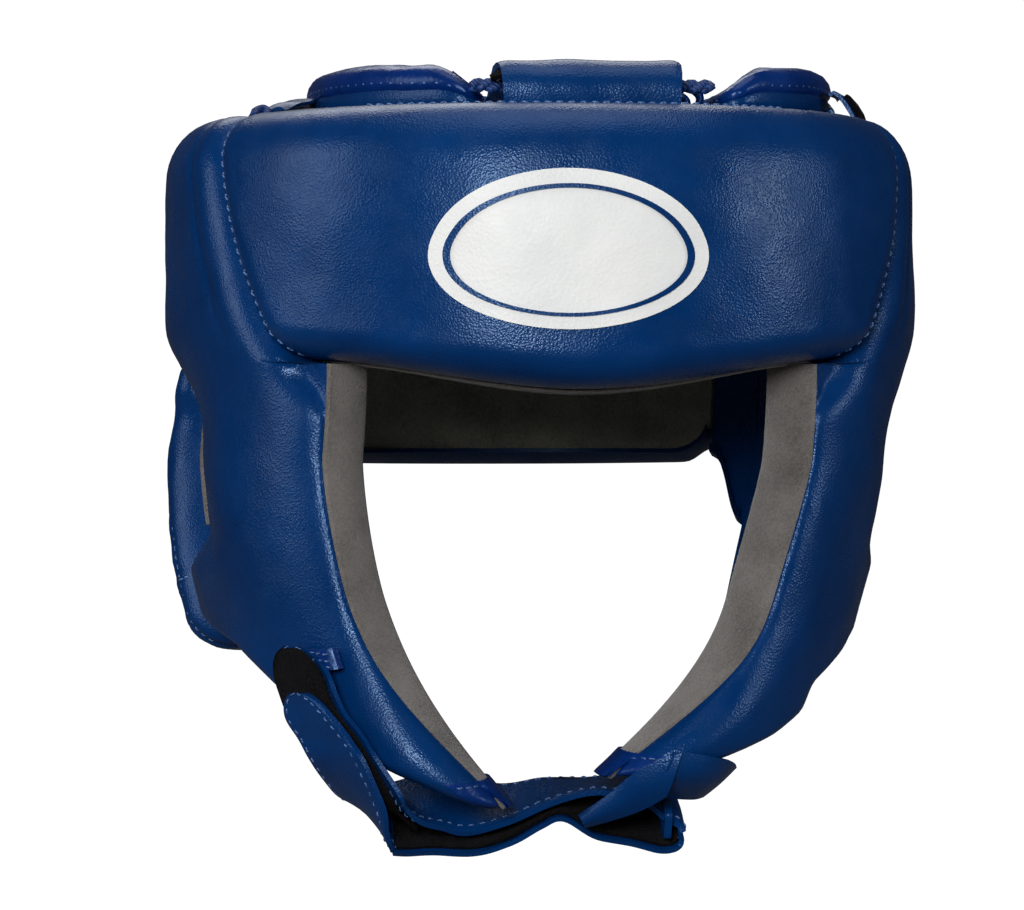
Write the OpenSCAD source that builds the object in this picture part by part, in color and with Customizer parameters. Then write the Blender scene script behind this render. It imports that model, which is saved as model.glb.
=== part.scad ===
// Competition boxing headgear. The parts are layers laid on a head form: suede lining next to
// the head, foam over it and a leather cover outside. A place on the form is an angle from the
// face (0) over the ear (90) to the nape (180) and a height z; a layer adds its depth outwards.
// Origin: middle of the head opening at nape level. +Z is up and the face looks along -Y.

/* [Head form] */
// Half of the inside width at the temples
head_half_width = 82; // [80:0.5:84]
// From the origin forward to the forehead lining
head_front = 98; // [96:0.5:100]
// From the origin back to the nape lining
head_back = 100; // [98:0.5:102]
// Sideways set of the soft cheeks at the chin, towards the wearer's right
chin_sway = 7; // [5:0.5:8]

/* [Levels] */
// Height of the rim around the crown, at the lining
rim_z = 93; // [91:0.5:95]
// Height of the brow edge in the middle of the forehead
brow_z = 19; // [15:0.5:20]
// Height of the lower tip of the right cheek, at the lining
chin_z = -94; // [-95:0.5:-92]

/* [Padding] */
// Thickness of the forehead pad
forehead_pad = 28; // [26:0.5:29]
// Thickness of the side pads over the temples
temple_pad = 27; // [25:0.5:27.5]
// Thickness of the cheek pads
cheek_pad = 22; // [20:0.5:22]
// Thickness of the ear guards
ear_pad = 28; // [22:0.5:29]
// Thickness of the rear pad
rear_pad = 20; // [18:0.5:21]
// Height of the crown pads
crown_pad = 13; // [12:0.5:14]

/* [Materials] */
// Thickness of the leather covers
leather = 1.3; // [1:0.1:1.4]
// Thickness of the suede linings
suede = 1.3; // [1:0.1:1.4]
// Width of the chin strap
strap_width = 28; // [26:0.5:30]

/* [Hidden] */
LEFT = 1;               // sides as the wearer names them
RIGHT = -1;
gap = 0.25;             // air between neighbouring layers
dome_start_z = 60;      // above this height the head form closes in
dome_height = 110;
jaw_depth = 105;        // the jaw narrows over this depth below the nape
squareness = 2.2;       // 2 is an ellipse, more is squarer
corner_z = 27;          // brow edge at its two corners
slot_top_z = 8;         // the ear slot
slot_foot_z = -17;
crown_z = rim_z + 3.6;  // foot of the crown pads
crown_inner_x = 35;     // the crown pads stop this far from the lace
lace_x = 4;             // the lace runs a little left of the middle
strap_depth = cheek_pad + 1.2;
blue = "#0b3a7e";
deep_blue = "#0a2a78";
grey = "#6b6762";
foam_colour = "#cfc8b8";
black = "#151515";

// ---- Head form ----
function clamp(x, low = 0, high = 1) = max(low, min(high, x));
function mix(a, b, t) = a + (b - a) * t;
function smooth(t) = let (s = clamp(t)) s * s * (3 - 2 * s);
function unit(v) = v / norm(v);
function spread(n) = [for (i = [0:n]) (1 - cos(180 * i / n)) / 2];   // closer steps at both ends
function even(n) = [for (i = [0:n]) i / n];
function jaw(z) = clamp(-z / jaw_depth, 0, 1.1);
function dome(z) = z < dome_start_z ? 1 : sqrt(1 - pow((z - dome_start_z) / dome_height, 2));
function half_width(z) = (head_half_width - 36 * pow(jaw(z), 1.5)) * dome(z);
function front_y(z) = (-head_front + 6 * jaw(z)) * dome(z);
function back_y(z) = (head_back - 110 * pow(jaw(z), 1.2)) * dome(z);
function radius(angle, z) =
    pow(pow(abs(sin(angle)) / half_width(z), squareness)
        + pow(abs(cos(angle)) * 2 / (back_y(z) - front_y(z)), squareness), -1 / squareness);
function form(angle, z) =
    let (r = radius(angle, z)) [r * sin(angle), (front_y(z) + back_y(z)) / 2 - r * cos(angle), z];
function form_normal(angle, z) =
    unit(cross(form(angle + 0.5, z) - form(angle - 0.5, z), form(angle, z + 0.5) - form(angle, z - 0.5)));
function sway(z) = chin_sway * mix(smooth((25 - z) / 65), smooth((-40 - z) / 55), 0.45);
function place(side, angle, z, depth) =
    let (p = form(angle, z) + form_normal(angle, z) * depth)
    [side * p.x - sway(z), p.y, p.z];

// Quarter-round rise from 0 at an edge to 1 at a width inside it
function rise(s, width) = let (t = clamp(s / width)) sqrt(1 - (1 - t) * (1 - t));
// Depth of a pad: full inside, falling to the edge depths [u=0, u=1, v=0, v=1] over the widths
function padded(full, u, v, edges, widths) =
    max(4.4, full
        - (full - edges[0]) * (1 - rise(u, widths[0])) - (full - edges[1]) * (1 - rise(1 - u, widths[1]))
        - (full - edges[2]) * (1 - rise(v, widths[2])) - (full - edges[3]) * (1 - rise(1 - v, widths[3])));

// Closed solid between two sheets, each a function of u and v
module between(low, high, us, vs, side = LEFT) {
    nu = len(us);
    nv = len(vs);
    function at(layer, i, j) = (layer * nu + i) * nv + j;
    function quad(a, b, c, d) = side == LEFT ? [[a, b, c], [a, c, d]] : [[a, c, b], [a, d, c]];
    points = [for (sheet = [low, high]) for (u = us) for (v = vs) sheet(u, v)];
    sheets = [for (i = [0:nu - 2]) for (j = [0:nv - 2]) each concat(
        quad(at(0, i, j), at(0, i + 1, j), at(0, i + 1, j + 1), at(0, i, j + 1)),
        quad(at(1, i, j), at(1, i, j + 1), at(1, i + 1, j + 1), at(1, i + 1, j)))];
    ends = [for (i = [0:nu - 2]) each concat(
        quad(at(0, i, 0), at(1, i, 0), at(1, i + 1, 0), at(0, i + 1, 0)),
        quad(at(0, i, nv - 1), at(0, i + 1, nv - 1), at(1, i + 1, nv - 1), at(1, i, nv - 1)))];
    flanks = [for (j = [0:nv - 2]) each concat(
        quad(at(0, 0, j), at(0, 0, j + 1), at(1, 0, j + 1), at(1, 0, j)),
        quad(at(0, nu - 1, j), at(1, nu - 1, j), at(1, nu - 1, j + 1), at(0, nu - 1, j + 1)))];
    polyhedron(points, concat(sheets, ends, flanks));
}

// A layer of a pad: area gives [angle, z], low and high give depths off the head form
module layer(side, area, low, high, us, vs) {
    between(
        function(u, v) let (a = area(u, v)) place(side, a[0], a[1], low(u, v)),
        function(u, v) let (a = area(u, v)) place(side, a[0], a[1], high(u, v)),
        us, vs, side);
}

// A strap through a list of centre points; across gives the direction of its width at each
module ribbon(path, across, width, low, high) {
    last = len(path) - 1;
    function facing(i) = unit(cross(path[min(i + 1, last)] - path[max(i - 1, 0)], across[i]));
    between(
        function(u, i) path[i] + across[i] * width * (u - 0.5) + facing(i) * low,
        function(u, i) path[i] + across[i] * width * (u - 0.5) + facing(i) * high,
        [0, 1], [for (i = [0:last]) i], RIGHT);
}

// Straight round cord from one point to another
module cord(a, b, r) {
    d = b - a;
    translate(a)
        rotate([0, acos(d.z / norm(d)), atan2(d.y, d.x)])
            cylinder(h = norm(d), r = r, $fn = 24);
}

// ---- Forehead pad ----
function seam_angle(z) = 41 + 19 * pow(clamp((z - corner_z) / (rim_z - corner_z)), 0.8);
function forehead_area(u, v) =
    let (s = 2 * u - 1, z = mix(mix(brow_z, corner_z, smooth(abs(s) * 1.05)), rim_z, v))
    [s * (seam_angle(max(z, corner_z)) - 0.25), z];
function forehead_top(u, v) = padded(forehead_pad, u, v, [22, 22, 5, 11], [0.08, 0.08, 0.16, 0.22]);
module forehead_cover() {
    color(blue) layer(LEFT, function(u, v) forehead_area(u, v),
        function(u, v) forehead_top(u, v) - leather, function(u, v) forehead_top(u, v),
        spread(16), spread(8));
}
module forehead_foam() {
    color(foam_colour) layer(LEFT, function(u, v) forehead_area(u, v),
        function(u, v) suede + gap, function(u, v) forehead_top(u, v) - leather - gap,
        spread(16), spread(8));
}
module forehead_lining() {
    color(grey) layer(LEFT, function(u, v) forehead_area(u, v),
        function(u, v) 0, function(u, v) suede, spread(16), spread(8));
}
// Oval badge on the middle of the forehead
module forehead_print() {
    color("white") layer(LEFT,
        function(u, v) [20 * (2 * u - 1), 54 + 20 * (2 * v - 1) * sqrt(1 - 0.6 * pow(2 * u - 1, 2))],
        function(u, v) forehead_pad + gap, function(u, v) forehead_pad + gap + 0.4, even(8), even(4));
}

// ---- Side panel: temple above, cheek below, with the ear slot in its rear edge ----
levels = [
    chin_z, chin_z + 3, chin_z + 8, chin_z + 15, chin_z + 23, -63, -55, -42, -30, -20, slot_foot_z,
    slot_foot_z + 2, -5, slot_top_z, corner_z - 1, corner_z - 0.4, 45, 62, 75, rim_z - 9, rim_z - 4, rim_z
];
temple_start = 15;      // the first of the levels that belongs to the temple
function face_angle(z) = 36 - 22 * pow(clamp((-35 - z) / (-35 - chin_z)), 2.2);
function side_front(z) = z < corner_z - 0.7 ? face_angle(z) : seam_angle(z) + 0.25;
function side_back(z) = lookup(z, [
    [chin_z, 24], [chin_z + 3, 30], [chin_z + 8, 37], [chin_z + 15, 46], [chin_z + 23, 54], [-63, 62],
    [-55, 75], [-42, 100], [-36, 108], [slot_foot_z, 108], [slot_foot_z + 2, 96],
    [slot_top_z, 108], [corner_z - 1, 108], [corner_z - 0.4, 137.5], [rim_z, 137.5]
]);
// The left cheek is drawn up a little by the chin strap
function side_z(side, z) = z > -42 ? z : -42 + (z + 42) * (side == LEFT ? 0.84 : 1);
// The panel thins towards the ear
function ear_hollow(u, z) =
    8 * smooth((mix(side_front(z), side_back(z), u) - 55) / 35)
      * smooth((z + 32) / 10) * smooth((38 - z) / 26);
function side_top(u, z) =
    padded(mix(cheek_pad, temple_pad, smooth(z / 45)) - ear_hollow(u, z), u, 0.5,
        [z > corner_z - 0.7 ? 21 : 5, z > corner_z - 0.7 ? 9 : 5, 0, 0], [0.1, 0.2, 0.1, 0.1])
    - 13 * (1 - rise(rim_z - z, 16)) - 12 * (1 - rise(z - chin_z, 16));
module side_sheet(side, low, high, first = 0, last = len(levels) - 1) {
    between(
        function(u, i) let (z = levels[i])
            place(side, mix(side_front(z), side_back(z), u), side_z(side, z), low(u, z)),
        function(u, i) let (z = levels[i])
            place(side, mix(side_front(z), side_back(z), u), side_z(side, z), high(u, z)),
        spread(8), [for (i = [first:last]) i], side);
}
function side_height(u, z) = max(4.4, side_top(u, z));
module side_cover(side) {
    color(blue)
        side_sheet(side, function(u, z) side_height(u, z) - leather, function(u, z) side_height(u, z));
}
module side_lining(side) {
    color(grey) side_sheet(side, function(u, z) 0, function(u, z) suede);
}
module cheek_foam(side) {
    color(foam_colour) side_sheet(side, function(u, z) suede + gap,
        function(u, z) side_height(u, z) - leather - gap, 0, temple_start - 1);
}
module temple_foam(side) {
    color(foam_colour) side_sheet(side, function(u, z) suede + gap,
        function(u, z) side_height(u, z) - leather - gap, temple_start);
}
function height_at(angle, z) = side_height((angle - side_front(z)) / (side_back(z) - side_front(z)), z);
module cheek_binding(side) {
    function area(u, v) = let (z = mix(chin_z + 1, chin_z + 8, v))
        [side_front(z) + mix(1, mix(7, 11, v), u), z];
    color(deep_blue) between(
        function(u, v) let (a = area(u, v))
            place(side, a[0], side_z(side, a[1]), height_at(a[0], a[1]) + 1.1),
        function(u, v) let (a = area(u, v))
            place(side, a[0], side_z(side, a[1]), height_at(a[0], a[1]) + 1.9),
        even(4), even(3), side);
}

// ---- Ear guard, behind the ear slot ----
function guard_area(u, v) = [mix(108.6, 124, u), mix(-49, corner_z - 1.6, v)];
function guard_top(u, v) =
    padded(ear_pad - 3 * smooth(2 * v - 0.7), u, v, [9, 12, 9, 9], [0.4, 0.4, 0.2, 0.12]);
module ear_guard_cover(side) {
    color(blue) layer(side, function(u, v) guard_area(u, v),
        function(u, v) guard_top(u, v) - leather, function(u, v) guard_top(u, v), spread(6), spread(8));
}
module ear_guard_foam(side) {
    color(foam_colour) layer(side, function(u, v) guard_area(u, v),
        function(u, v) suede, function(u, v) guard_top(u, v) - leather - gap, spread(6), spread(8));
}
module ear_guard_band(side) {
    color(deep_blue) layer(side, function(u, v) [mix(108.6, 124, u), mix(-55, -49.6, v)],
        function(u, v) 0.6, function(u, v) 8, even(4), even(2));
}

// ---- Back of the head ----
module rear_wing(side) {
    color(blue) layer(side,
        function(u, v) [mix(124.6, 137.5, u), mix(mix(-20, 0, smooth(u)), corner_z - 1.6, v)],
        function(u, v) 0.5, function(u, v) padded(9, u, v, [7, 7, 5, 8], [0.3, 0.3, 0.2, 0.2]),
        even(4), even(4));
}
function rear_area(u, v) = [mix(138, 222, u), mix(0, rim_z, v)];
function rear_top(u, v) = padded(rear_pad, u, v, [9, 9, 6, 9], [0.12, 0.12, 0.12, 0.2]);
module rear_cover() {
    color(blue) layer(LEFT, function(u, v) rear_area(u, v),
        function(u, v) rear_top(u, v) - leather, function(u, v) rear_top(u, v), spread(12), spread(8));
}
module rear_foam() {
    color(foam_colour) layer(LEFT, function(u, v) rear_area(u, v),
        function(u, v) suede + gap, function(u, v) rear_top(u, v) - leather - gap, spread(12), spread(8));
}
module rear_lining() {
    color("#2a2624") layer(LEFT, function(u, v) rear_area(u, v),
        function(u, v) 0, function(u, v) suede, spread(12), spread(8));
}
// The strap is sewn on over the left temple and closes over the right one
function rear_strap_depth(angle) =
    let (off = abs(angle - 180)) mix(rear_pad + 1.5, temple_pad + 1.6, smooth((off - 22) / 30));
function rear_strap_area(u, v) = [mix(127, 234, u), mix(22, 62, v)];
module rear_strap() {
    color(blue) layer(LEFT, function(u, v) rear_strap_area(u, v),
        function(u, v) rear_strap_depth(rear_strap_area(u, v)[0]),
        function(u, v) rear_strap_depth(rear_strap_area(u, v)[0]) + 2.4, even(16), even(2));
}
module rear_strap_hook() {
    color(black) layer(LEFT, function(u, v) [mix(227, 233, u), mix(24, 60, v)],
        function(u, v) rear_strap_depth(mix(227, 233, u)) - 1,
        function(u, v) rear_strap_depth(mix(227, 233, u)) - 0.4, even(3), even(2));
}
module rear_loop_patch() {
    color(black) layer(RIGHT, function(u, v) [mix(119, 134, u), mix(28, 60, v)],
        function(u, v) height_at(mix(119, 134, u), mix(28, 60, v)) + 0.5,
        function(u, v) height_at(mix(119, 134, u), mix(28, 60, v)) + 1.1, even(5), even(4));
}

// ---- Crown pads, laced together over the middle ----
crown_angles = [for (i = [0:14]) mix(24, 152, i / 14)];
crown_inset = -4;       // the pads stand inside the line of the rim
function crown_edge(i, depth) = place(LEFT, crown_angles[i], rim_z, depth);
function crown_outline(out) = concat(
    [for (i = [0:14]) let (p = crown_edge(i, crown_inset + out)) [p.x, p.y]],
    [[crown_inner_x - out, crown_edge(14, crown_inset + out).y],
     [crown_inner_x - out, crown_edge(0, crown_inset + out).y]]);
function crown_top(u, v) = crown_z + padded(crown_pad, u, v, [9.5, 9.5, 9.5, 9.5], [0.3, 0.3, 0.15, 0.15]);
module crown_sheet(side, low, high, depth = crown_inset, shift = lace_x) {
    function at(u, i) =
        let (p = crown_edge(i, depth))
        [mix(side * crown_inner_x + lace_x, side * p.x + shift, u), p.y, 0];
    between(
        function(u, i) at(u, i) + [0, 0, low(u, i / 14)],
        function(u, i) at(u, i) + [0, 0, high(u, i / 14)],
        spread(6), [for (i = [0:14]) i], side);
}
module crown_cover(side) {
    color(blue) crown_sheet(side, function(u, v) crown_top(u, v) - leather, function(u, v) crown_top(u, v));
}
module crown_foam(side) {
    color(foam_colour) crown_sheet(side, function(u, v) crown_z + 0.8 + gap,
        function(u, v) crown_top(u, v) - leather - gap);
}
// The lining reaches out past the pad and is sewn along the rim
module crown_lining(side) {
    color(grey) crown_sheet(side, function(u, v) crown_z, function(u, v) crown_z + 0.8, 8, 0);
}
module crown_ring(side, low, high, thick) {
    translate([lace_x, 0, crown_z + low])
        mirror([side == LEFT ? 0 : 1, 0, 0])
            linear_extrude(high - low)
                difference() {
                    polygon(crown_outline(0.4 + thick));
                    polygon(crown_outline(0.4));
                }
}
module crown_wall(side) { color(blue) crown_ring(side, 1.05, 3.9, 1.0); }
module crown_binding(side) { color(deep_blue) crown_ring(side, 4.1, crown_pad - 3.4, 1.3); }

// Lace loops along the inner edges, and the lace that crosses between them
loop_y = [for (i = [0:4]) mix(-46, 58, i / 4)];
lace_z = crown_z + 5;
module crown_loops(side) {
    color(deep_blue)
        for (y = loop_y)
            translate([side * (crown_inner_x - 6.2) + lace_x, y, lace_z])
                rotate([90, 0, 0])
                    rotate_extrude($fn = 24)
                        translate([3.4, 0])
                            circle(r = 0.9, $fn = 12);
}
module crown_lace() {
    low_x = lace_x - 22;
    high_x = lace_x + 22;
    color(deep_blue) {
        cord([low_x - 8, -84, lace_z], [high_x + 8, -84, lace_z], 1.5);
        for (i = [0:3]) {
            cord([low_x, loop_y[i] + 3, lace_z - 2], [high_x, loop_y[i + 1] - 3, lace_z - 2], 1.3);
            cord([high_x, loop_y[i] + 3, lace_z + 1], [low_x, loop_y[i + 1] - 3, lace_z + 1], 1.3);
        }
    }
}
module crown_tongue() {
    color(blue)
        translate([lace_x - 28, -82, crown_z - 1.2])
            cube([56, 158, 1.2]);
}
module crown_tongue_loop_patch() {
    color(black)
        translate([lace_x - 17, -66, crown_z + 0.1])
            cube([34, 12, 0.9]);
}
module crown_tab_rear() {
    color(blue)
        translate([lace_x - 16, 66, crown_z + 0.2])
            cube([32, 24, 2]);
}
module crown_tab_left() {
    color(black) layer(LEFT, function(u, v) [mix(60, 72, u), mix(rim_z + 1.2, rim_z + 2.4, v)],
        function(u, v) 12.5, function(u, v) 20, even(3), even(2));
}
// Leather flap over the front of the lace; it hinges where it is sewn along the rim
module flap(profile, width, half) {
    ribbon([for (p = profile) [lace_x, p[0], p[1]]], [for (p = profile) [1, 0, 0]], width, -half, half);
}
module lace_cover() {
    profile = [[-97.5, crown_z + 1.6], [-97.5, crown_z + 7], [-95, crown_z + 10], [-84, crown_z + 11],
               [-72, crown_z + 9], [-62, crown_z + 3.5], [-56, crown_z + 2.4]];
    color(blue) flap(profile, 49, 0.8);
}
module lace_cover_hook() {
    color(black) flap([[-62, crown_z + 2.1], [-57, crown_z + 1.4]], 30, 0.25);
}
module rim_cord_knot() {
    p = place(RIGHT, 62, rim_z, 12);
    color(deep_blue)
        translate([p.x, p.y, p.z + 2.6])
            sphere(r = 2.2, $fn = 24);
}

// ---- Chin strap: sewn to the right cheek, through the keeper on the left one and back ----
function strap_angle(z) = mix(45, 42, smooth((-62 - z) / 16));
function cheek_path(zs, depth, turn = 0) = [for (z = zs) place(RIGHT, strap_angle(z) + turn, z, depth)];
function cheek_across(zs, turn = 0) = [for (z = zs) let (angle = strap_angle(z) + turn)
    unit(place(RIGHT, angle + 5, z, strap_depth) - place(RIGHT, angle - 5, z, strap_depth))];
function turned(n, from) = [for (i = [1:n]) unit(mix(from, [0, 1, 0], smooth(i / 8)))];
on_cheek = [-48, -54, -60, -66, -72, -78];
cheek_way = cheek_across(on_cheek);
under_chin = [
    [-56.5, -95, -92.5], [-53, -91, -98], [-47, -87, -101.8], [-39, -83.5, -103.4], [-30, -81, -103],
    [-18, -80, -99.8], [-6, -80, -95.8], [6, -80, -93.8], [18, -80, -93.8], [25.5, -80, -94.6],
    [29, -80, -95.6], [30.4, -80, -98.2]
];
module chin_strap() {
    color(blue) ribbon(concat(cheek_path(on_cheek, strap_depth + 0.8), under_chin),
        concat(cheek_way, turned(12, cheek_way[5])), strap_width, -0.8, 0.8);
}
module chin_strap_pile() {
    color(black) ribbon(cheek_path(on_cheek, strap_depth + 2.2), cheek_way, strap_width - 3, -0.4, 0.4);
}
module chin_strap_anchor() {
    color(deep_blue) layer(RIGHT, function(u, v) [mix(36, 50, u), mix(-60, -47, v)],
        function(u, v) cheek_pad + gap, function(u, v) cheek_pad + 0.8, even(3), even(2));
}
module chin_strap_return() {
    path = [[30.4, -80, -99.8], [29.6, -80, -102], [27.4, -80, -104], [23, -80, -105.2],
            [16, -80, -105.2], [6, -80, -103.8], [-3, -80, -101.4], [-9, -80, -102], [-18, -80, -106],
            [-28, -80, -108.2], [-38, -81, -108.4], [-46, -83, -106.6]];
    color(blue) ribbon(path, [for (p = path) [0, 1, 0]], strap_width, -0.8, 0.8);
}
tip_zs = [-60, -66, -72, -78];
tip_way = cheek_across(tip_zs, 2.5);
module chin_strap_tip() {
    path = concat(cheek_path(tip_zs, strap_depth + 5.6, 2.5),
                  [[-61.5, -96, -95.5], [-57.5, -92, -101], [-52, -87.5, -104.8]]);
    color(blue) ribbon(path, concat(tip_way, turned(3, tip_way[3])), strap_width, -0.8, 0.8);
}
module chin_strap_tip_hook() {
    color(black) ribbon(cheek_path(tip_zs, strap_depth + 3.9, 2.5), tip_way, strap_width - 3, -0.4, 0.4);
}
// Slotted tab on the left cheek that the strap passes through
module chin_strap_keeper() {
    color(blue) {
        difference() {
            translate([24.6, -97, -101.2])
                cube([2, 34, 10]);
            translate([24, -95.2, -97.2])
                cube([3.2, 30.4, 4.6]);
        }
        layer(LEFT, function(u, v) [mix(32, 48, u), mix(-71, -62, v)],
            function(u, v) cheek_pad + gap, function(u, v) cheek_pad + 1.4, even(3), even(2));
    }
}

forehead_cover();
forehead_foam();
forehead_lining();
forehead_print();
side_cover(LEFT);  // side_cover_left
side_cover(RIGHT);  // side_cover_right
temple_foam(LEFT);  // temple_foam_left
temple_foam(RIGHT);  // temple_foam_right
cheek_foam(LEFT);  // cheek_foam_left
cheek_foam(RIGHT);  // cheek_foam_right
side_lining(LEFT);  // side_lining_left
side_lining(RIGHT);  // side_lining_right
cheek_binding(LEFT);  // cheek_binding_left
cheek_binding(RIGHT);  // cheek_binding_right
ear_guard_cover(LEFT);  // ear_guard_cover_left
ear_guard_cover(RIGHT);  // ear_guard_cover_right
ear_guard_foam(LEFT);  // ear_guard_foam_left
ear_guard_foam(RIGHT);  // ear_guard_foam_right
ear_guard_band(LEFT);  // ear_guard_band_left
ear_guard_band(RIGHT);  // ear_guard_band_right
rear_wing(LEFT);  // rear_wing_left
rear_wing(RIGHT);  // rear_wing_right
rear_cover();
rear_foam();
rear_lining();
rear_loop_patch();
rear_strap();
rear_strap_hook();
crown_cover(LEFT);  // crown_cover_left
crown_cover(RIGHT);  // crown_cover_right
crown_foam(LEFT);  // crown_foam_left
crown_foam(RIGHT);  // crown_foam_right
crown_lining(LEFT);  // crown_lining_left
crown_lining(RIGHT);  // crown_lining_right
crown_wall(LEFT);  // crown_wall_left
crown_wall(RIGHT);  // crown_wall_right
crown_binding(LEFT);  // crown_binding_left
crown_binding(RIGHT);  // crown_binding_right
crown_loops(LEFT);  // crown_loops_left
crown_loops(RIGHT);  // crown_loops_right
crown_lace();
crown_tongue();
crown_tongue_loop_patch();
crown_tab_rear();
crown_tab_left();
lace_cover();
lace_cover_hook();
rim_cord_knot();
chin_strap();
chin_strap_pile();
chin_strap_anchor();
chin_strap_keeper();
chin_strap_return();
chin_strap_tip();
chin_strap_tip_hook();
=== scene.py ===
"""Boxing headgear: leather pads, suede linings, laced crown and a folded chin strap.

Shapes are worked out in millimetres on the same head form as the CAD, then scaled to metres. A
place on the form is an angle from the face (0) over the ear (90) to the nape (180) and a height
z; depth is measured outwards from the lining. LEFT and RIGHT are the wearer's.
"""
import math

import bmesh
import bpy
from mathutils import Matrix, Vector, noise


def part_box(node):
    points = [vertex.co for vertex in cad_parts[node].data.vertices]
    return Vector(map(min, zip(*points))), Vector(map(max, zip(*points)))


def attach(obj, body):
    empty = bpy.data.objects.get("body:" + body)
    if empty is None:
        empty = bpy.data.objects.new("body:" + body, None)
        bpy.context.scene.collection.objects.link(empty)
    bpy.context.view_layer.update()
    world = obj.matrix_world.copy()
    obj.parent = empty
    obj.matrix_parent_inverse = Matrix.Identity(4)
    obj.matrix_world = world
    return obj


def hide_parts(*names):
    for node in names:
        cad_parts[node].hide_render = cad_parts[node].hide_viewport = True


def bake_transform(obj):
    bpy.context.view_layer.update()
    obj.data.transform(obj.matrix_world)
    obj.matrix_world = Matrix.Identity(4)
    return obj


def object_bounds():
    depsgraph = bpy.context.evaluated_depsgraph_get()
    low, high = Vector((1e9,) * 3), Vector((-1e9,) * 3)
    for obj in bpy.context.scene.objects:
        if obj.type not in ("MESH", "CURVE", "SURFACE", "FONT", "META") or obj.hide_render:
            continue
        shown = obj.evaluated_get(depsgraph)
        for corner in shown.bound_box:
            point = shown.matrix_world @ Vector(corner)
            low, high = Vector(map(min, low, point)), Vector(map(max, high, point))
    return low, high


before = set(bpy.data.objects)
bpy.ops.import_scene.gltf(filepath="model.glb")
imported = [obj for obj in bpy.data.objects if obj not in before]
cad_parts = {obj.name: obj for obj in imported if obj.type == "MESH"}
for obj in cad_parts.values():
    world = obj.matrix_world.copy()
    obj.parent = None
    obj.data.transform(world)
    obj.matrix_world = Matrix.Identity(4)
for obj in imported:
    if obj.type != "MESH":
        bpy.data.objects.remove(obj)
CAD_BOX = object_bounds()
MM = 0.001
LEFT, RIGHT = 1, -1
ROOT = "headgear"


def box_mm(node):
    low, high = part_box(node)
    return [c / MM for c in low], [c / MM for c in high]


# ---- Sizes taken from the frame ----
SUEDE = 1.3
HEAD_HALF_WIDTH = box_mm("side_lining_left")[1][0] - SUEDE
HEAD_FRONT = -box_mm("forehead_lining")[0][1] - SUEDE
HEAD_BACK = box_mm("rear_lining")[1][1] - SUEDE
BROW_Z = box_mm("forehead_lining")[0][2]
RIM_Z = box_mm("forehead_lining")[1][2] - 0.35
CROWN_Z = box_mm("crown_lining_left")[0][2]
CROWN_TOP = box_mm("crown_cover_left")[1][2]
CHIN_Z = -94.0
CHIN_SWAY = 7.0
CORNER_Z = 27.0
FOREHEAD_PAD, TEMPLE_PAD, CHEEK_PAD, REAR_PAD, EAR_PAD = 28.0, 27.0, 22.0, 20.0, 29.0
SLOT_TOP, SLOT_FOOT = 8.0, -17.0
STEP_Z = CORNER_Z - 0.7                        # the side panel's front edge steps back to the seam here
GUARD_FRONT, GUARD_BACK, GUARD_FOOT = 108.6, 124.0, -49.0
REAR_START, REAR_END = 138.0, 222.0            # the rear pad, measured round the wearer's left
FOAM_DEPTH = SUEDE + 0.3
ARC, SIDE_ARC = 1.55, 1.5                      # millimetres per degree at face and nape, and at the ears
OVAL_POWER = 2.2
LACE_X = 4.0


# ---- Head form ----
def clamp(x, low=0.0, high=1.0):
    return max(low, min(high, x))


def mix(a, b, t):
    return a + (b - a) * t


def smooth(t):
    s = clamp(t)
    return s * s * (3 - 2 * s)


def lookup(x, table):
    if x <= table[0][0]:
        return table[0][1]
    for (x0, y0), (x1, y1) in zip(table, table[1:]):
        if x <= x1:
            return mix(y0, y1, (x - x0) / (x1 - x0))
    return table[-1][1]


def sin(deg):
    return math.sin(math.radians(deg))


def cos(deg):
    return math.cos(math.radians(deg))


def jaw(z):
    return clamp(-z / 105, 0, 1.1)


def dome(z):
    return 1.0 if z < 60 else math.sqrt(1 - ((z - 60) / 110) ** 2)


def form(angle, z):
    half_width = (HEAD_HALF_WIDTH - 36 * jaw(z) ** 1.5) * dome(z)
    front = (-HEAD_FRONT + 6 * jaw(z)) * dome(z)
    back = (HEAD_BACK - 110 * jaw(z) ** 1.2) * dome(z)
    s, c = sin(angle), cos(angle)
    r = ((abs(s) / half_width) ** OVAL_POWER
         + (abs(c) * 2 / (back - front)) ** OVAL_POWER) ** (-1 / OVAL_POWER)
    return Vector((r * s, (front + back) / 2 - r * c, z))


def form_normal(angle, z):
    across = form(angle + 0.5, z) - form(angle - 0.5, z)
    up = form(angle, z + 0.5) - form(angle, z - 0.5)
    return across.cross(up).normalized()


def sway(z):
    return CHIN_SWAY * mix(smooth((25 - z) / 65), smooth((-40 - z) / 55), 0.45)


def place(side, angle, z, depth):
    p = form(angle, z) + form_normal(angle, z) * depth
    return Vector((side * p.x - sway(z), p.y, p.z))


def place_normal(side, angle, z):
    n = form_normal(angle, z)
    return Vector((side * n.x, n.y, n.z))


def rise(mm, width):
    t = clamp(mm / width)
    return math.sqrt(max(0.0, 1 - (1 - t) ** 2))


def wobble(p, size, amount, seed=0.0):
    return amount * noise.noise(Vector((p[0] / size + seed, p[1] / size, p[2] / size)))


def steps(n, low=0.0, high=1.0):
    return [mix(low, high, i / n) for i in range(n + 1)]


def ends_fine(n, low=0.0, high=1.0):
    """Steps that are closer together at both ends."""
    return [mix(low, high, (1 - math.cos(math.pi * i / n)) / 2) for i in range(n + 1)]


# ---- Materials ----
def feed(node, **inputs):
    """Sets each named input to a value, or links it where it is given another node's output."""
    for name, value in inputs.items():
        socket = node.inputs[name.replace("_", " ")]
        if isinstance(value, bpy.types.NodeSocket):
            node.id_data.links.new(value, socket)
        else:
            socket.default_value = value
    return node


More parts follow.
